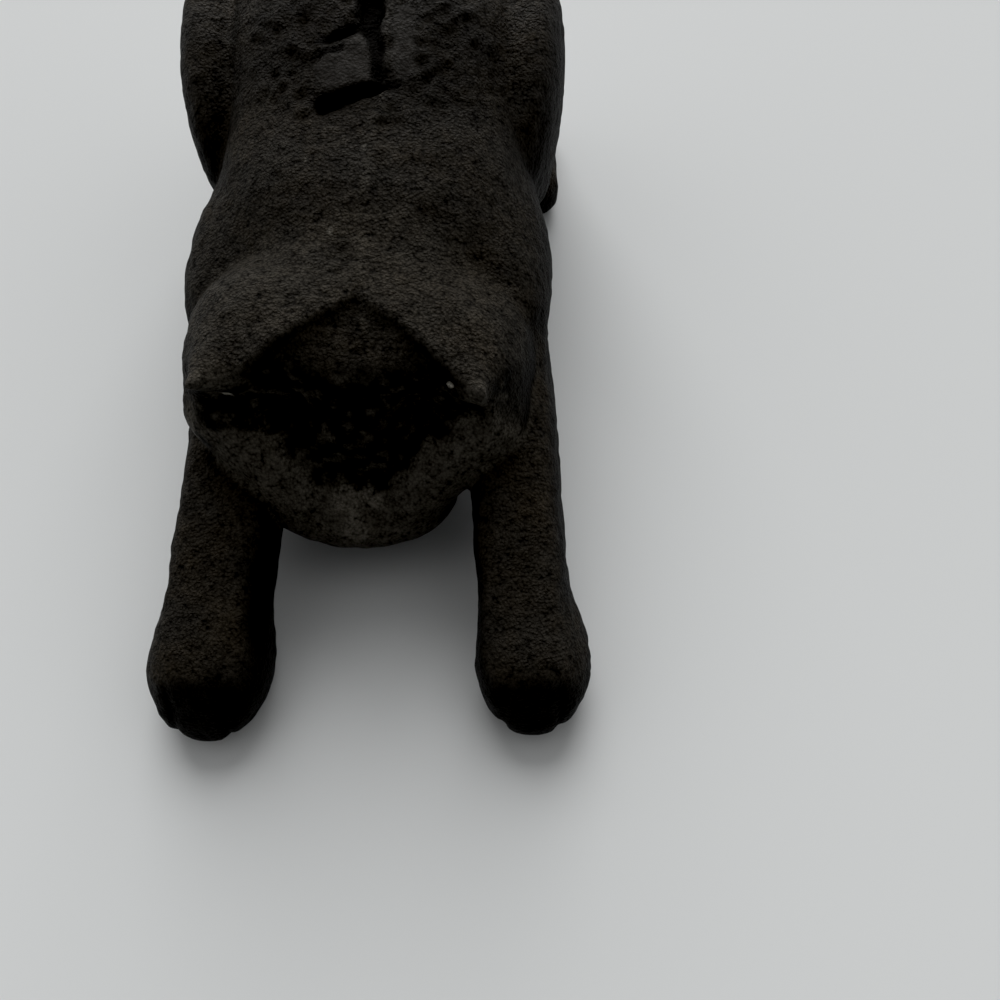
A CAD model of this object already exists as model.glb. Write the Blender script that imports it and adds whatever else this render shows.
import math

import bpy
import numpy as np
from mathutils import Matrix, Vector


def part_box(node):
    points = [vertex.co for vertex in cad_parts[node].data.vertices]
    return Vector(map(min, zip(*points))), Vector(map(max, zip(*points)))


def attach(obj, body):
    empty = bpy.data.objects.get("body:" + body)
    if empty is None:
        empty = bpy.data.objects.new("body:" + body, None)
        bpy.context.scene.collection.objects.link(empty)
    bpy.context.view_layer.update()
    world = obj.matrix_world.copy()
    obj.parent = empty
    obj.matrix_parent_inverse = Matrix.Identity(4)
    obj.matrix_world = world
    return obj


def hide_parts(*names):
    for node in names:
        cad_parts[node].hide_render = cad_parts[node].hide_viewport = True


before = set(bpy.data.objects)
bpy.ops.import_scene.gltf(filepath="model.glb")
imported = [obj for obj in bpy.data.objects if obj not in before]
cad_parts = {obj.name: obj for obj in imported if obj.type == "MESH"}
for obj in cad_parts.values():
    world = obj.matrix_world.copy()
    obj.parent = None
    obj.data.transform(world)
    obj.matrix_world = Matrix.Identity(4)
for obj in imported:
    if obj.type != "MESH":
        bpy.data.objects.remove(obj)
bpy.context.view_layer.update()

mm = 0.001

# The casting's forms, in millimetres: x across, y back from the tips of the paws, z up from the floor.
# A mass has its middle, half sizes, the power of its section across and up, and turns in degrees.
catForm = {
    "chest": dict(at=(0, 127, 40), half=(43, 42, 29.5), square=2.3),
    "loin": dict(at=(0, 146, 42), half=(37, 46, 30), square=3.4),
    "rump": dict(at=(-0.5, 179, 45), half=(40.5, 42, 36), square=3.4),
    "seat": dict(at=(0, 195, 18), half=(37, 30, 24), square=3.0),
    "shoulder": dict(at=(34.5, 113, 36), half=(13.5, 27, 20), square=2.2, turn=(-6, 0, 0)),
    "shoulderShift": -1.3,
    "neck": dict(at=(0, 112, 46), half=(28, 26, 21), square=2.6),
    "leftLeg": dict(start=(34, 92, 26), end=(39, 20, 13), wide=(12.2, 11.5), high=(15, 11), square=3.4,
                    roll=0),
    "rightLeg": dict(start=(35, 92, 26), end=(40, 20, 13), wide=(12, 11), high=(15, 11), square=3.4,
                     roll=-10),
    "leftPaw": dict(at=(40.5, 17.2, 8), half=(14.2, 18.6, 11.5), square=2.8, turn=(0, 0, -8)),
    "rightPaw": dict(at=(41.5, 18, 8), half=(13.8, 17.8, 11.5), square=2.8, turn=(0, 0, -4)),
    "leftToeSlope": dict(at=(40, 6, 18), facing=(0, -0.78, 0.63)),
    "rightToeSlope": dict(at=(40, 7, 18), facing=(0, -0.78, 0.63)),
    "thigh": dict(at=(42.4, 174.5, 48), half=(10.2, 36.5, 25), square=2.4, turn=(10, 0, -3.5)),
    "thighShift": -1.6,
    "haunch": dict(at=(31, 202, 34), half=(18, 17, 27), square=2.6, turn=(8, 0, 0)),
    "shank": dict(start=(35, 154, 36), end=(39, 204, 14), radius=(9, 9)),
    "hindFoot": dict(start=(42, 210, 8), end=(43.5, 178, 7), wide=(9, 9), high=(9, 8), square=2.6, roll=0),
    "tail": dict(middle=(-24, 203), sweep=(29, 18), startAngle=25, turn=160, radius=(10.5, 5),
                 rest=(8.5, 5.5), rootRise=30, rootPull=6, rootShare=0.32, steps=14),
    "head": dict(shift=-0.8, lean=0.05, leanFrom=84, leanEnd=100, roll=5, pivot=45),
    "dome": dict(at=(0, 86, 40), half=(42, 34, 26), square=2.5),
    "ear": dict(start=(24, 84, 48), end=(30.6, 66.2, 60.4), radius=(15, 1.5)),
    "earShift": -2,
    "earFront": dict(at=(0, 88, 64), facing=(-0.57, -0.80, 0.2)),
    "earUnder": dict(at=(0, 66, 58.5), facing=(0, -0.86, -0.51)),
    "earSide": dict(at=(33, 0, 0), facing=(-1, 0, 0)),
    "forehead": dict(at=(0, 90, 66.3), facing=(0, -0.36, 0.93)),
    "noseSlope": dict(at=(0, 70.5, 57), facing=(0.1, -0.92, 0.39)),
    "socket": dict(at=(16, 61.5, 48), half=(9, 11, 7.5), square=2),
    "cheek": dict(start=(30, 74.5, 38.5), end=(13, 60.5, 23), radius=(12, 10)),
    "jaw": dict(at=(0, 63, 17), half=(26, 16.5, 10.5), square=2.3),
    "nose": dict(at=(0, 56.5, 19), half=(12, 8.5, 8.5), square=2.0),
}

# Widths over which neighbouring forms run into each other, in millimetres.
easeWidth = dict(trunk=10, rump=16, shoulder=8, leg=6, paw=8, toe=3, thigh=3, haunch=7, shank=6, foot=4,
                 tail=6, hood=4, earEdge=1.2, face=2, brow=3, socket=4, cheek=3, jaw=4, nose=4, neck=5,
                 head=1.5)


# the nearer of two fields, eased over a width where they run into each other
def joined(a, b, width):
    h = np.clip(0.5 + 0.5 * (b - a) / width, 0, 1)
    return b + (a - b) * h - width * h * (1 - h)


# the farther of two fields, eased over a width along their edge
def trimmed(a, b, width):
    return -joined(-a, -b, width)


# length of the section's power sum taken with its run, less one, over its own gradient
def roundField(u, v, w, wide, high, long, n):
    powers = u ** n + v ** n + 1e-12
    size = np.sqrt(powers ** (2 / n) + w * w) + 1e-9
    share = powers ** (2 / n - 1)
    across, up = share * u ** (n - 1) / wide, share * v ** (n - 1) / high
    slope = np.sqrt(across ** 2 + up ** 2 + (w / long) ** 2)
    return (size - 1) * size / (slope + 1e-9)


# axes of a mass turned about x, then y, then z
def turnedAxes(turn):
    a, b, c = np.radians(turn)
    aboutX = np.array([[1, 0, 0], [0, np.cos(a), -np.sin(a)], [0, np.sin(a), np.cos(a)]])
    aboutY = np.array([[np.cos(b), 0, np.sin(b)], [0, 1, 0], [-np.sin(b), 0, np.cos(b)]])
    aboutZ = np.array([[np.cos(c), -np.sin(c), 0], [np.sin(c), np.cos(c), 0], [0, 0, 1]])
    return aboutZ @ aboutY @ aboutX


# a rounded mass: squarish across and up, round along its run
def massField(points, mass):
    q = points - np.array(mass["at"], float)
    if "turn" in mass:
        q = q @ turnedAxes(mass["turn"])
    wide, long, high = mass["half"]
    return roundField(np.abs(q[:, 0]) / wide, np.abs(q[:, 2]) / high, q[:, 1] / long, wide, high, long,
                      mass["square"])


# a tapered bar with a squarish section and round ends
def barField(points, bar):
    start, end = np.array(bar["start"], float), np.array(bar["end"], float)
    length = np.linalg.norm(end - start)
    along = (end - start) / length
    side = np.cross(along, (0, 0, 1))
    side /= np.linalg.norm(side)
    up = np.cross(side, along)
    c, s = math.cos(math.radians(bar["roll"])), math.sin(math.radians(bar["roll"]))
    side, up = c * side + s * up, c * up - s * side
    q = points - start
    t = q @ along / length
    held = np.clip(t, 0, 1)
    wide = bar["wide"][0] + (bar["wide"][1] - bar["wide"][0]) * held
    high = bar["high"][0] + (bar["high"][1] - bar["high"][0]) * held
    cap = np.minimum(wide, high)
    return roundField(np.abs(q @ side) / wide, np.abs(q @ up) / high, (t - held) * length / cap,
                      wide, high, cap, bar["square"])


# a round limb whose radius runs evenly from one end to the other
def limbField(points, limb):
    start, end = np.array(limb["start"], float), np.array(limb["end"], float)
    run = end - start
    t = np.clip((points - start) @ run / (run @ run), 0, 1)
    radius = limb["radius"][0] + (limb["radius"][1] - limb["radius"][0]) * t
    return np.linalg.norm(points - start - t[:, None] * run, axis=1) - radius


# signed distance to a flat slope
def slopeField(points, slope):
    facing = np.array(slope["facing"], float)
    return (points - np.array(slope["at"], float)) @ facing / np.linalg.norm(facing)


def mirrored(points):
    return np.column_stack([np.abs(points[:, 0]), points[:, 1], points[:, 2]])


# the tail's angle runs evenly round a flat ellipse and its root falls to the floor over the first share
def tailField(points):
    tail = catForm["tail"]
    t = np.linspace(0, 1, tail["steps"] + 1)
    angle = np.radians(tail["startAngle"] + tail["turn"] * t)
    drop = np.maximum(0, 1 - t / tail["rootShare"]) ** 2
    x = tail["middle"][0] + tail["sweep"][0] * np.cos(angle)
    y = tail["middle"][1] + tail["sweep"][1] * np.sin(angle) - tail["rootPull"] * drop
    z = tail["rest"][0] + (tail["rest"][1] - tail["rest"][0]) * t + tail["rootRise"] * drop
    radius = tail["radius"][0] + (tail["radius"][1] - tail["radius"][0]) * t
    spots = np.column_stack([x, y, z])
    near = np.full(len(points), 1e6)
    for a in range(tail["steps"]):
        stretch = dict(start=spots[a], end=spots[a + 1], radius=radius[a:a + 2])
        near = np.minimum(near, limbField(points, stretch))
    return near


# points seen from the head's own straight axes: moved aside, leaned along y and rolled
def headPoints(points):
    head = catForm["head"]
    ahead = head["leanFrom"] - np.minimum(points[:, 1], head["leanEnd"])
    side = points[:, 0] - head["shift"] + head["lean"] * ahead
    rise = points[:, 2] - head["pivot"]
    c, s = math.cos(math.radians(head["roll"])), math.sin(math.radians(head["roll"]))
    return np.column_stack([c * side - s * rise, points[:, 1], s * side + c * rise + head["pivot"]])


def headField(points):
    q = headPoints(points)
    m, e = mirrored(q), mirrored(q - (catForm["earShift"], 0, 0))
    skull = massField(q, catForm["dome"])
    hood = joined(skull, limbField(e, catForm["ear"]), easeWidth["hood"])
    ears = trimmed(hood, slopeField(m, catForm["earFront"]), easeWidth["earEdge"])
    under = joined(slopeField(e, catForm["earUnder"]), slopeField(e, catForm["earSide"]), easeWidth["hood"])
    ears = trimmed(ears, under, easeWidth["face"])
    face = trimmed(skull, slopeField(q, catForm["forehead"]), easeWidth["face"])
    face = trimmed(face, slopeField(m, catForm["noseSlope"]), easeWidth["brow"])
    face = trimmed(face, -massField(m, catForm["socket"]), easeWidth["socket"])
    face = joined(face, limbField(m, catForm["cheek"]), easeWidth["cheek"])
    head = joined(ears, face, easeWidth["face"])
    head = joined(head, massField(q, catForm["jaw"]), easeWidth["jaw"])
    head = joined(head, massField(q, catForm["nose"]), easeWidth["nose"])
    return joined(head, massField(points, catForm["neck"]), easeWidth["neck"])


def legField(points, side):
    leg, paw = barField(points, catForm[side + "Leg"]), massField(points, catForm[side + "Paw"])
    toes = slopeField(points, catForm[side + "ToeSlope"])
    return trimmed(joined(leg, paw, easeWidth["paw"]), toes, easeWidth["toe"])


def catField(points):
    m = mirrored(points)
    cat = joined(massField(points, catForm["chest"]), massField(points, catForm["loin"]), easeWidth["trunk"])
    cat = joined(cat, massField(points, catForm["rump"]), easeWidth["rump"])
    cat = joined(cat, massField(points, catForm["seat"]), easeWidth["trunk"])
    wider = mirrored(points - (catForm["shoulderShift"], 0, 0))
    cat = joined(cat, massField(wider, catForm["shoulder"]), easeWidth["shoulder"])
    legs = np.minimum(legField(points * (-1, 1, 1), "left"), legField(points, "right"))
    cat = joined(cat, legs, easeWidth["leg"])
    aside = mirrored(points - (catForm["thighShift"], 0, 0))
    cat = joined(cat, massField(aside, catForm["thigh"]), easeWidth["thigh"])
    cat = joined(cat, massField(m, catForm["haunch"]), easeWidth["haunch"])
    cat = joined(cat, limbField(m, catForm["shank"]), easeWidth["shank"])
    cat = joined(cat, barField(m, catForm["hindFoot"]), easeWidth["foot"])
    cat = joined(cat, tailField(points), easeWidth["tail"])
    return joined(cat, headField(points), easeWidth["head"])


# the way the skin faces: central differences of the field, made one long
def facingAt(points, reach=0.25):
    steps = np.eye(3) * reach
    slope = np.column_stack([catField(points + step) - catField(points - step) for step in steps])
    return slope / np.linalg.norm(slope, axis=1, keepdims=True)


castMesh = {
    "step": 1.06,             # lattice spacing, near the grain of the casting
    "coarse": 4,              # every so many lattice lines are tried first
    "low": (-62, -6, 0),      # corners of the lattice, the lowest layer straddles the floor
    "high": (62, 240, 88),
}


# every lattice point, as rows of x, y and z
def latticePoints(axes):
    return np.stack(np.meshgrid(*axes, indexing="ij"), axis=-1).reshape(-1, 3)


# One point in each lattice cell that the skin crosses, at the mean of its crossings along the cell's edges,
# and one face round each crossed lattice line. The field is worked out finely only near the skin.
def castSkin():
    step, coarse = castMesh["step"], castMesh["coarse"]
    low = np.array(castMesh["low"], float) - (0, 0, step / 2)
    counts = np.ceil((np.array(castMesh["high"]) - low) / (step * coarse)).astype(int)
    axes = [low[a] + step * np.arange(counts[a] * coarse + 1) for a in range(3)]
    floored = lambda p: np.maximum(catField(p), -p[:, 2])
    rough = floored(latticePoints([axis[::coarse] for axis in axes])).reshape(counts + 1)

    close = np.abs(rough) < 1.3 * step * coarse
    cellClose = np.zeros(counts, bool)
    for corner in np.ndindex(2, 2, 2):
        cellClose |= close[tuple(slice(d, d + n) for d, n in zip(corner, counts))]
    for axis in range(3):
        cellClose = np.repeat(cellClose, coarse, axis)
    nearSkin = np.zeros(counts * coarse + 1, bool)
    for corner in np.ndindex(2, 2, 2):
        nearSkin[tuple(slice(d, d + n) for d, n in zip(corner, counts * coarse))] |= cellClose
    values = rough
    for axis in range(3):
        values = np.repeat(values, coarse, axis).take(np.arange(counts[axis] * coarse + 1), axis)
    places = np.argwhere(nearSkin)
    values[nearSkin] = floored(low + step * places)

    inside = values < 0
    cells = tuple(n - 1 for n in values.shape)
    full = np.zeros(cells, int)
    for corner in np.ndindex(2, 2, 2):
        full += inside[tuple(slice(d, d + n) for d, n in zip(corner, cells))]
    crossed = np.argwhere((full > 0) & (full < 8))
    number = np.full(cells, -1)
    number[tuple(crossed.T)] = np.arange(len(crossed))

    total, hits = np.zeros((len(crossed), 3)), np.zeros(len(crossed))
    for axis in range(3):
        along = np.eye(3, dtype=int)[axis]
        for corner in np.ndindex(2, 2, 2):
            if corner[axis]:
                continue
            a = crossed + corner
            va, vb = values[tuple(a.T)], values[tuple((a + along).T)]
            cut = (va < 0) != (vb < 0)
            share = np.where(cut, va / np.where(cut, va - vb, 1), 0)
            total += np.where(cut[:, None], a + share[:, None] * along, 0)
            hits += cut
    points = low + step * total / hits[:, None]

    faces = []
    for axis in range(3):
        b, c = (axis + 1) % 3, (axis + 2) % 3
        along, sideB, sideC = np.eye(3, dtype=int)[[axis, b, c]]
        first = inside[tuple(slice(0, -1) if a == axis else slice(1, -1) for a in range(3))]
        second = inside[tuple(slice(1, None) if a == axis else slice(1, -1) for a in range(3))]
        lines = np.argwhere(first != second) + sideB + sideC
        around = (0 * along, sideB, sideB + sideC, sideC)
        ring = np.column_stack([number[tuple((lines - shift).T)] for shift in around])
        outward = inside[tuple(lines.T)]
        faces.append(np.where(outward[:, None], ring, ring[:, ::-1]))
    return points, np.vstack(faces), crossed[:, 2] == 0


# points are drawn onto the skin along its own slope, and those on the floor stay there
def drawnOntoSkin(points, onFloor):
    points = points.copy()
    points[onFloor, 2] = 0
    for _ in range(2):
        away, facing = catField(points), facingAt(points)
        facing[onFloor, 2] = 0
        held = np.where(onFloor & (away < -castMesh["step"]), 0, away)
        points -= facing * np.clip(held, -1, 1)[:, None]
    return points


# Uneven noise from 0 to 1: even random values on a lattice of the given cell, eased between its points.
def castNoise(points, cell, seed):
    values = np.random.default_rng(seed).random((64, 64, 64))
    at = points / cell + 32
    base = np.floor(at).astype(int)
    part = at - base
    part = part * part * (3 - 2 * part)
    total = np.zeros(len(points))
    for corner in np.ndindex(2, 2, 2):
        weight = np.prod(np.where(corner, part, 1 - part), axis=1)
        total += weight * values[tuple(((base + corner) % 64).T)]
    return total


# 1 inside, 0 outside and an even rise between two limits
def rising(x, low, high):
    t = np.clip((x - low) / (high - low), 0, 1)
    return t * t * (3 - 2 * t)


# distance seen from above to a run of straight lines, and how far along it the nearest spot is, from 0 to 1
def besidePath(points, path):
    path = np.array(path, float)
    lengths = np.linalg.norm(np.diff(path, axis=0), axis=1)
    ends = np.concatenate([[0], np.cumsum(lengths)])
    near, along = np.full(len(points), 1e6), np.zeros(len(points))
    for a, b, length, start in zip(path[:-1], path[1:], lengths, ends):
        t = np.clip((points[:, :2] - a) @ (b - a) / length ** 2, 0, 1)
        away = np.linalg.norm(points[:, :2] - a - t[:, None] * (b - a), axis=1)
        along = np.where(away < near, (start + t * length) / ends[-1], along)
        near = np.minimum(near, away)
    return near, along


# share of a round patch seen from above: 1 in its middle, 0 from its edge on
def inPatch(points, patch):
    apart = (points[:, :2] - patch["at"]) / patch["reach"]
    return rising(1 - (apart ** 2).sum(1), 0, 0.6)


# Small relief and wear of the casting, in millimetres, on the same count as the forms.
castRelief = {
    "lumps": (dict(cell=11, height=0.5, seed=3), dict(cell=5, height=0.35, seed=5),
              dict(cell=2.4, height=0.5, seed=7)),
    "coarse": (dict(at=(2, 154), reach=(38, 27), cell=2.2, height=1.7, seed=13, dark=0.5),
               dict(at=(-4.5, 98.4), reach=(8, 4.5), cell=1.9, height=2.4, seed=37, dark=0.35)),
    "seam": dict(path=((1.7, 93), (1.2, 106), (1.6, 112), (3, 125), (4, 135), (4.6, 144), (4.8, 155),
                       (5.5, 165), (5, 190), (2, 216)), half=1.5, height=0.6, dust=0.5),
    "gateStub": dict(path=((-5.5, 146.5), (0, 149)), half=6.2, height=0.5),
    "groundBand": dict(path=((9.6, 148), (9.6, 161)), half=3.0, height=0.2),
    "gateSlot": dict(path=((-8.3, 137.4), (-2, 140.2), (8.5, 142.6)), half=(2.8, 1.9, 1.4, 1.2, 0.8),
                     depth=(3.0, 1.6, 1.2), front=0.15),
    "pipeSlot": dict(path=((1.0, 176), (1.3, 158), (3.4, 153), (3.8, 142)), half=(2.6, 3, 3, 1.6, 1.2, 1.2),
                     depth=(3, 5, 4, 2.4, 1.8, 1.8), front=1),
    "crack": dict(path=((-11.3, 154.3), (-6, 155.8), (-2, 158.2)), half=(0.7, 1.1), depth=(0.8, 1.4),
                  front=1),
    "stubLine": dict(path=((-11, 150.6), (-5.5, 152.6)), half=(0.7, 0.7), depth=(0.7, 0.5), front=1),
    "unevenEdge": dict(cell=2.3, reach=1.5, seed=17),
    "toeGrooves": dict(left=(-46.5, -34), right=(33.5, 47.6), half=1.0, depth=0.7),
    "noseLine": dict(path=((-2.4, 60), (-2.6, 50)), half=0.9, depth=0.7),
    "noseWear": dict(paths=(((-7.5, 55.2), (0.5, 55.2)), ((-3.6, 56), (-3.9, 46.5))), half=2.6, dust=2.4),
    "browNotch": dict(path=((1.2, 92), (0.9, 85)), half=1.3, depth=0.9),
    "faceShade": dict(low=57.8, aside=9, rise=0.85, reach=9, flare=(-0.12, 0.3), top=58, side=36, back=90,
                      flecks=0.7, dust=0.5),
    "brow": dict(back=88.5, taper=0.71, dust=0.1, black=0.5),
    "hood": dict(dust=0.22),
    "muzzle": dict(back=69, dust=0.95),
    "toeShade": dict(back=(13, 9), black=0.97),
    "groundShade": 0.6,       # how much of the fading was ground away with the gate
    "specks": (dict(at=(-29.3, 69.8, 53.8), radius=0.85, white=1),
               dict(at=(21.5, 70.9, 56.2), radius=0.85, white=1),
               dict(at=(0.6, 158.8, 77.8), radius=0.7, white=0.5),
               dict(at=(1.2, 125.2, 71.7), radius=0.8, white=0.12),
               dict(at=(-6.2, 105.3, 66.4), radius=0.8, white=0.18),
               dict(at=(-12.7, 122.8, 70.7), radius=0.6, white=0.12)),
}


# rise of the skin along its facing, and the shares of it that are rubbed smooth and that lie in a slot
def reliefOf(points, facing):
    relief = castRelief
    above = rising(facing[:, 2], 0.25, 0.6)
    uneven = relief["unevenEdge"]
    wander = uneven["reach"] * (castNoise(points, uneven["cell"], uneven["seed"]) - 0.5)

    smooth, sunk, rise = np.zeros((3, len(points)))
    for name in ("gateStub", "groundBand"):
        patch = relief[name]
        away, along = besidePath(points, patch["path"])
        flat = above * rising(-away - wander, -patch["half"] - 0.9, -patch["half"] + 0.9)
        rise += patch["height"] * flat
        smooth = np.maximum(smooth, flat)

    for lump in relief["lumps"]:
        rise += lump["height"] * (castNoise(points, lump["cell"], lump["seed"]) - 0.5)
    for coarse in relief["coarse"]:
        bumps = coarse["height"] * (castNoise(points, coarse["cell"], coarse["seed"]) - 0.55)
        rise += above * inPatch(points, coarse) * (1 - smooth) * bumps

    seam = relief["seam"]
    away, along = besidePath(points, seam["path"])
    broken = 0.35 + 0.9 * castNoise(points, 4, 11)
    rise += above * seam["height"] * broken * np.exp(-(away / seam["half"]) ** 2)

    # a slot is as deep as its front share at its front edge and full at its rear wall
    for name in ("gateSlot", "pipeSlot", "crack", "stubLine"):
        slot = relief[name]
        away, along = besidePath(points, slot["path"])
        start, end = np.array(slot["path"][0]), np.array(slot["path"][-1])
        run = (end - start) / np.linalg.norm(end - start)
        behind = (points[:, 1] - start[1]) * run[0] - (points[:, 0] - start[0]) * run[1]
        half = np.interp(along, np.linspace(0, 1, len(slot["half"])), slot["half"])
        depth = np.interp(along, np.linspace(0, 1, len(slot["depth"])), slot["depth"])
        share = slot["front"] + (1 - slot["front"]) * rising(behind, -half, half * 0.6)
        edge = np.minimum(0.8, half * 0.6)
        within = above * share * rising(-away - 0.6 * wander, -half - edge, -half + edge)
        rise -= depth * within
        sunk = np.maximum(sunk, above * share * rising(-away - 0.6 * wander, -half - 2 * edge, -half))

    toes = relief["toeGrooves"]
    inFront = rising(-points[:, 1], -14, -7) * rising(-facing[:, 1], -0.1, 0.4)
    for x in (*toes["left"], *toes["right"]):
        rise -= inFront * toes["depth"] * np.exp(-((points[:, 0] - x) / toes["half"]) ** 2)

    line = relief["noseLine"]
    away, along = besidePath(points, line["path"])
    onMuzzle = rising(-points[:, 1], -64, -60) * rising(points[:, 2], 18, 22)
    rise -= onMuzzle * line["depth"] * np.exp(-(away / line["half"]) ** 2)
    notch = relief["browNotch"]
    away, along = besidePath(points, notch["path"])
    rise -= above * notch["depth"] * np.exp(-(away / notch["half"]) ** 2) * rising(-points[:, 1], -94, -90)
    return rise * rising(points[:, 2], 0, 1.5), smooth * (1 - sunk), sunk


# Shares of the head's skin: the black middle of the face, which lies behind a line that runs back from
# the nose to each cheek and on to the ear, and below the brow; the muzzle before it; the brow; the hood.
def faceParts(points, wander):
    shade, brow = castRelief["faceShade"], castRelief["brow"]
    q = headPoints(points)
    x, y, z = mirrored(q).T
    beside = x - shade["aside"]
    lowEdge = shade["low"] + shade["rise"] * np.clip(beside, 0, shade["reach"])
    lowEdge += np.where(q[:, 0] < 0, *shade["flare"]) * np.maximum(beside - shade["reach"], 0)
    inShade = rising(y + wander - lowEdge, -1.2, 1.2) * rising(shade["top"] - z + wander, -2, 2)
    inShade *= rising(shade["side"] - x, -1.5, 1.5) * rising(shade["back"] - y, -2, 2)
    onHead = rising(1.5 - headField(points), 0, 0.8) * (1 - inShade)
    onMuzzle = onHead * rising(castRelief["muzzle"]["back"] - y, -2, 2)
    onBrow = rising(brow["back"] - brow["taper"] * x - y, -0.5, 1) * rising(z - shade["top"] + 3, 0, 2)
    return inShade, onMuzzle, onBrow, (onHead - onMuzzle) * (1 - onBrow)


# How far the paint has faded, and how much dust lies on it. It fades where it looks up, on the muzzle too,
# and stays black in slots, on the toes and in the middle of the face.
def paintWear(points, facing, sunk):
    shade, brow, toes = castRelief["faceShade"], castRelief["brow"], castRelief["toeShade"]
    wander = 5 * (castNoise(points, 3, 23) - 0.5)
    grains = castNoise(points, 1.7, 31)
    inShade, onMuzzle, onBrow, onHood = faceParts(points, wander)
    upward = facing[:, 2] + 0.3 * (castNoise(points, 9, 19) - 0.5)
    faded = np.maximum(rising(upward, 0.25, 0.85), onMuzzle * rising(upward, -0.1, 0.5))
    onToes = rising(-points[:, 1], -toes["back"][0], -toes["back"][1]) * rising(-facing[:, 1], 0.2, 0.5)
    mottle = rising(castNoise(points, 2.6, 29), 0.35, 0.65)
    faded *= (1 - sunk) * (1 - toes["black"] * onToes) * (1 - brow["black"] * onBrow * mottle)
    for coarse in castRelief["coarse"]:
        faded *= 1 - coarse["dark"] * inPatch(points, coarse)
    faded = faded * (1 - inShade) + shade["flecks"] * inShade * rising(grains, 0.45, 0.75)

    dust = castRelief["muzzle"]["dust"] * onMuzzle + brow["dust"] * onBrow * (1 - inShade)
    dust += shade["dust"] * inShade * rising(grains, 0.5, 0.8)
    dust += castRelief["hood"]["dust"] * onHood * rising(upward, 0.3, 0.7)
    seam, nose = castRelief["seam"], castRelief["noseWear"]
    onSeam = np.exp(-(besidePath(points, seam["path"])[0] / seam["half"]) ** 2)
    dust += seam["dust"] * onSeam * grains * rising(upward, 0.5, 0.8) * (1 - inShade)
    onNose = onMuzzle * rising(points[:, 2], 18, 22)
    for path in nose["paths"]:
        away = besidePath(points, path)[0] + 0.6 * wander
        patch = rising(-away, -nose["half"] - 1, -nose["half"] + 1)
        dust = np.maximum(dust, nose["dust"] * onNose * patch)
    return faded, dust


# how far the skin bulges: each point against the mean of its neighbours, spread evenly a few times
def bulgeOf(points, faces, facing, rounds=6):
    a = faces.ravel()
    b = np.roll(faces, -1, axis=1).ravel()
    count = np.bincount(a, minlength=len(points)) + np.bincount(b, minlength=len(points))
    spread = lambda v: (np.bincount(a, v[b], len(points)) + np.bincount(b, v[a], len(points))) / count
    middle = np.column_stack([spread(points[:, n]) for n in range(3)])
    bulge = ((points - middle) * facing).sum(1)
    for _ in range(rounds):
        bulge = 0.5 * bulge + 0.5 * spread(bulge)
    return bulge


# sRGB hex to linear red, green and blue
def linear(hexColour):
    parts = [int(hexColour[n:n + 2], 16) / 255 for n in (1, 3, 5)]
    return [c / 12.92 if c <= 0.04045 else ((c + 0.055) / 1.055) ** 2.4 for c in parts]


# adds a node: small-letter names are its settings, the rest its sockets; links go from sockets to sockets
def addNode(tree, kind, settings=None, links=None):
    node = tree.nodes.new(kind)
    for name, value in (settings or {}).items():
        if isinstance(name, str) and name[0].islower():
            setattr(node, name, value)
        else:
            node.inputs[name].default_value = value
    for socket, source in (links or {}).items():
        tree.links.new(source, node.inputs[socket])
    return node


ironFinish = {
    "paint": "#0d0c0b",        # black paint, whole where it is sheltered
    "faded": "#37342f",        # the same paint, dull with age and dust where it looks up
    "brown": "#3b352c",        # where the paint is thin and rust shows through
    "pit": "#141312",          # dirt in the pits of the grain
    "rubbed": "#2f2d2a",       # paint rubbed to grey on edges and ground patches
    "speck": "#b9b4a8",        # specks of chalk
    "dust": "#6f6a60",         # grey dust on the head and along the seam
    "grain": 0.8,              # sand grain in millimetres
    "clot": 2.2,               # clots of grains, in millimetres
    "fine": 0.45,              # finer tooth of the paint, drawn a little coarse so that it shows
    "patch": 14,               # patches of thin paint, in millimetres
    "blotch": 6,               # uneven age of the paint, in millimetres
    "grainDepth": 2.2,         # depth of the grain, in millimetres
    "rough": 0.55,             # roughness of the skin
    "smooth": 0.5,             # and where it is bare
    "gloss": 0.05,             # specular level, a dull paint
    "tint": "#fff4e4",         # colour of its sheen
}


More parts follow.
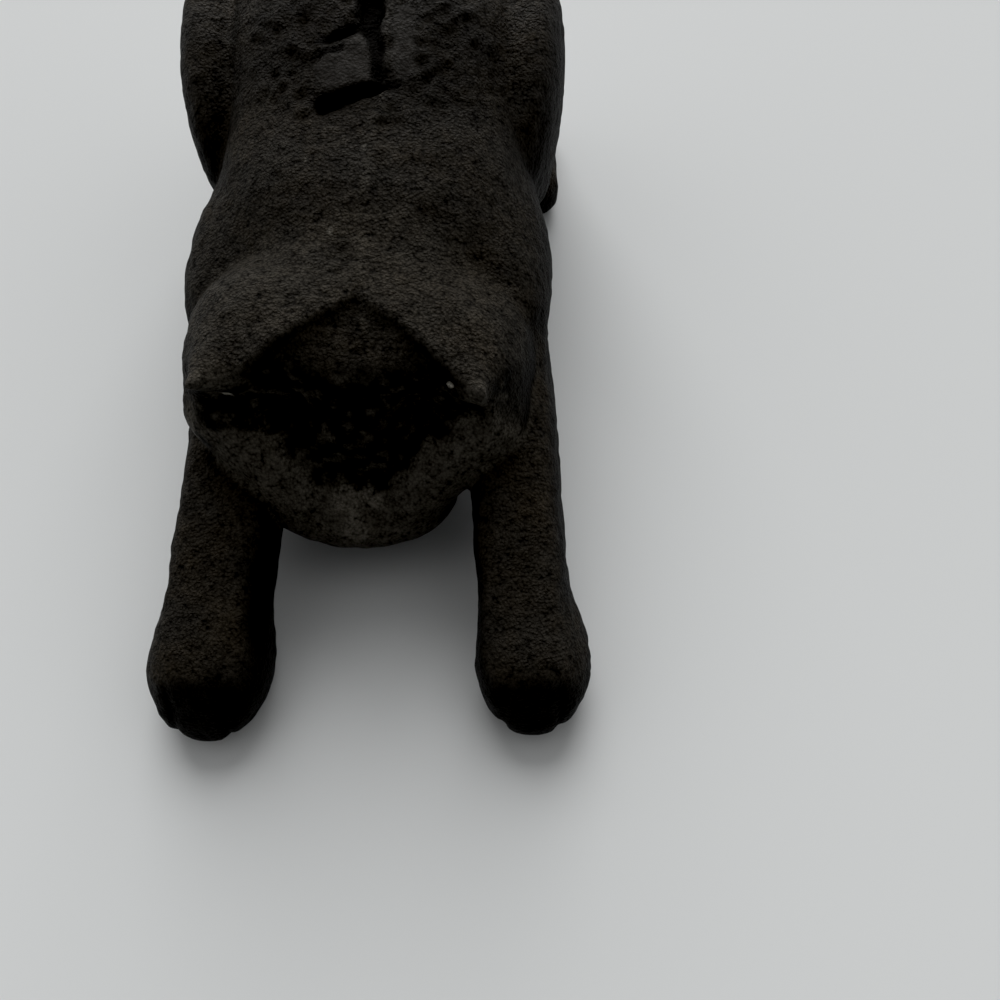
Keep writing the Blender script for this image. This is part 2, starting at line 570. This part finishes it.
# Painted grey cast iron, sand cast: a pebbled dark skin with a dull sheen, browner where the paint is thin,
# greyer and smoother where it was ground or rubbed.
def paintedIron():
    finish = ironFinish
    material = bpy.data.materials.new("painted_sand_cast_iron")
    material.use_nodes = True
    tree = material.node_tree
    tree.nodes.clear()
    place = addNode(tree, "ShaderNodeTexCoord").outputs["Object"]
    size = lambda millimetres: 1 / (millimetres * mm)
    colour = lambda name: (*linear(finish[name]), 1)

    def noise(name, detail, rough):
        settings = {"Scale": size(finish[name]), "Detail": detail, "Roughness": rough}
        return addNode(tree, "ShaderNodeTexNoise", settings, {"Vector": place}).outputs["Fac"]

    def between(value, settings):
        return addNode(tree, "ShaderNodeMapRange", settings, {"Value": value}).outputs["Result"]

    pebbles = addNode(tree, "ShaderNodeTexVoronoi", {"feature": "F1", "Scale": size(finish["grain"])},
                      {"Vector": place}).outputs["Distance"]
    tooth = noise("fine", 2.0, 0.5)
    clots = noise("clot", 5.0, 0.7)
    patches = noise("patch", 4.0, 0.6)
    blotches = noise("blotch", 4.0, 0.65)
    marks = ("worn", "ground", "sunk", "speck", "faded", "dust")  # the casting's own attributes
    worn, ground, sunk, speck, faded, dust = (
        addNode(tree, "ShaderNodeAttribute", {"attribute_name": name}).outputs["Fac"] for name in marks)

    grainHeight = addNode(tree, "ShaderNodeMath", {"operation": "MULTIPLY_ADD", 1: -0.35},
                          {0: pebbles, 2: clots}).outputs[0]
    height = addNode(tree, "ShaderNodeMath", {"operation": "MULTIPLY_ADD", 1: 0.25},
                     {0: tooth, 2: grainHeight}).outputs[0]
    strength = between(ground, {"To Min": 1.0, "To Max": 0.3})
    bump = addNode(tree, "ShaderNodeBump", {"Distance": finish["grainDepth"] * mm},
                   {"Height": height, "Strength": strength})

    mix = {"data_type": "RGBA"}
    thin = between(patches, {"From Min": 0.38, "From Max": 0.68})
    coat = addNode(tree, "ShaderNodeMix", {**mix, 6: colour("faded"), 7: colour("brown")},
                   {0: thin}).outputs[2]
    aged = between(blotches, {"From Min": 0.3, "From Max": 0.7, "To Min": 0.55, "To Max": 1.0})
    aged = addNode(tree, "ShaderNodeMath", {"operation": "MULTIPLY"}, {0: faded, 1: aged}).outputs[0]
    coat = addNode(tree, "ShaderNodeMix", {**mix, 6: colour("paint")}, {0: aged, 7: coat}).outputs[2]
    dusted = addNode(tree, "ShaderNodeMath", {"operation": "MULTIPLY"}, {0: dust, 1: blotches}).outputs[0]
    coat = addNode(tree, "ShaderNodeMix", {**mix, 7: colour("dust")}, {0: dusted, 6: coat}).outputs[2]
    deep = between(grainHeight, {"From Min": 0.46, "From Max": 0.08})
    deep = addNode(tree, "ShaderNodeMath", {"operation": "MAXIMUM"}, {0: deep, 1: sunk}).outputs[0]
    pitted = addNode(tree, "ShaderNodeMix", {**mix, 7: colour("pit")}, {0: deep, 6: coat}).outputs[2]
    edge = addNode(tree, "ShaderNodeMath", {"operation": "MULTIPLY"}, {0: worn, 1: clots}).outputs[0]
    bare = addNode(tree, "ShaderNodeMath", {"operation": "MULTIPLY_ADD", "use_clamp": True, 1: 0.4},
                   {0: ground, 2: edge}).outputs[0]
    rubbed = addNode(tree, "ShaderNodeMix", {**mix, 7: colour("rubbed")}, {0: bare, 6: pitted}).outputs[2]
    chalky = addNode(tree, "ShaderNodeMix", {**mix, 7: colour("speck")}, {0: speck, 6: rubbed}).outputs[2]
    sheen = between(bare, {"To Min": finish["rough"], "To Max": finish["smooth"]})
    gloss = between(deep, {"To Min": finish["gloss"], "To Max": 0.2 * finish["gloss"]})
    shader = addNode(tree, "ShaderNodeBsdfPrincipled",
                     {"Metallic": 0.0, "IOR": 1.5, "Specular Tint": colour("tint")},
                     {"Base Color": chalky, "Roughness": sheen, "Specular IOR Level": gloss,
                      "Normal": bump.outputs["Normal"]})
    addNode(tree, "ShaderNodeOutputMaterial", links={"Surface": shader.outputs["BSDF"]})
    return material


# 1. The casting: one closed skin with its relief, standing where the solid stands.
points, faces, onFloor = castSkin()
points = drawnOntoSkin(points, onFloor)
facing = facingAt(points)
boxMiddle = (points.min(0) + points.max(0)) / 2
solidLow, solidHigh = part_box("cat_casting")
frameShift = np.array([*((solidLow + solidHigh) / 2 / mm)[:2], 0]) - boxMiddle * (1, 1, 0)
rise, ground, sunk = reliefOf(points, facing)
shaped = points + facing * rise[:, None]
shaped[onFloor, 2] = 0
print("casting skin", len(shaped), "points", 2 * len(faces), "triangles")

bulge = bulgeOf(shaped, faces, facing)
worn = rising(bulge, 0.05, 0.2) * (1 - sunk)
speck = np.zeros(len(points))
for spot in castRelief["specks"]:
    near = np.linalg.norm(points - np.array(spot["at"]), axis=1) < spot["radius"]
    speck = np.maximum(speck, spot["white"] * near)

castingMesh = bpy.data.meshes.new("cat_skin")
castingMesh.from_pydata(((shaped + frameShift) * mm).tolist(), [], faces.tolist())

faded, dust = paintWear(points, facing, np.maximum(sunk, castRelief["groundShade"] * ground))
for name, values in dict(worn=worn, ground=ground, sunk=sunk, speck=speck, faded=faded, dust=dust).items():
    castingMesh.attributes.new(name, "FLOAT", "POINT").data.foreach_set("value", values.astype(np.float32))
castingMesh.shade_smooth()
castingMesh.set_sharp_from_angle(angle=math.radians(55))
castingMesh.materials.append(paintedIron())
casting = bpy.data.objects.new("cat_skin", castingMesh)
bpy.context.scene.collection.objects.link(casting)
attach(casting, "root")
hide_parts("cat_casting")
print("casting dressed")


# 2. Floor, light and camera.
studio = {
    "floorHalf": 1.6,                     # metres
    "floorColour": "#d9dbdb",
    "roomDim": 0.02,                      # light from the front
    "roomBright": 0.62,                   # light from the pale walls behind and at the sides
    "roomSides": 1.1,                     # how far the sides count as much as the wall behind
    "roomTop": 0.15,                      # and the ceiling
    "lights": (                           # direction towards the light, strength, and its width in degrees
        dict(name="window_light", towards=(-0.05, 0.83, 0.52), strength=2.85, width=50),
    ),
    "cameraAt": (32.8, -18.5, 200.7),     # millimetres, on the casting's own count
    "cameraDown": 67,                     # degrees below level
    "lens": 27,
    "blackPoint": 0.0028,                 # as deep shade drops to black in the photograph
}


def plainFloor():
    half = studio["floorHalf"]
    mesh = bpy.data.meshes.new("floor")
    corners = [(-half, -half, 0), (half, -half, 0), (half, half, 0), (-half, half, 0)]
    mesh.from_pydata(corners, [], [(0, 1, 2, 3)])
    material = bpy.data.materials.new("matt_card")
    material.use_nodes = True
    shader = material.node_tree.nodes["Principled BSDF"]
    shader.inputs["Base Color"].default_value = (*linear(studio["floorColour"]), 1)
    shader.inputs["Roughness"].default_value = 0.9
    mesh.materials.append(material)
    floor = bpy.data.objects.new("floor", mesh)
    bpy.context.scene.collection.objects.link(floor)


def softLight(light):
    lamp = bpy.data.lights.new(light["name"], "SUN")
    lamp.energy = light["strength"]
    lamp.angle = math.radians(light["width"])
    piece = bpy.data.objects.new(light["name"], lamp)
    x, y, z = np.array(light["towards"]) / np.linalg.norm(light["towards"])
    piece.rotation_euler = (math.acos(z), 0, math.atan2(y, x) + math.pi / 2)
    bpy.context.scene.collection.objects.link(piece)


plainFloor()
for light in studio["lights"]:
    softLight(light)


# a room that is bright behind and at the sides, with little from above, and dim in front:
# light rises with the direction's y part, its part to either side and a little of its part up
def roomLight():
    world = bpy.data.worlds.new("room")
    world.use_nodes = True
    tree = world.node_tree
    direction = addNode(tree, "ShaderNodeTexCoord").outputs["Generated"]
    parts = addNode(tree, "ShaderNodeSeparateXYZ", links={"Vector": direction}).outputs
    side = addNode(tree, "ShaderNodeMath", {"operation": "ABSOLUTE"}, {0: parts["X"]}).outputs[0]
    back = addNode(tree, "ShaderNodeMath", {"operation": "MULTIPLY_ADD", 1: studio["roomSides"]},
                   {0: side, 2: parts["Y"]}).outputs[0]
    whole = addNode(tree, "ShaderNodeMath", {"operation": "MULTIPLY_ADD", 1: studio["roomTop"]},
                    {0: parts["Z"], 2: back}).outputs[0]
    glow = addNode(tree, "ShaderNodeMapRange",
                   {"interpolation_type": "SMOOTHSTEP", "From Min": 0.0, "To Min": studio["roomDim"],
                    "To Max": studio["roomBright"]}, {"Value": whole}).outputs["Result"]
    tree.links.new(glow, tree.nodes["Background"].inputs["Strength"])
    tree.nodes["Background"].inputs["Color"].default_value = (1, 1, 1, 1)
    bpy.context.scene.world = world


roomLight()

lensData = bpy.data.cameras.new("camera")
lensData.lens = studio["lens"]
lensData.sensor_width = 36
lensData.clip_start = 0.01
camera = bpy.data.objects.new("camera", lensData)
camera.location = (np.array(studio["cameraAt"]) + frameShift) * mm
camera.rotation_euler = (math.radians(90 - studio["cameraDown"]), 0, 0)
bpy.context.scene.collection.objects.link(camera)
bpy.context.scene.camera = camera
bpy.context.scene.view_settings.view_transform = "Standard"
bpy.context.scene.view_settings.use_curve_mapping = True
bpy.context.scene.view_settings.curve_mapping.black_level = (studio["blackPoint"],) * 3
print("studio ready")
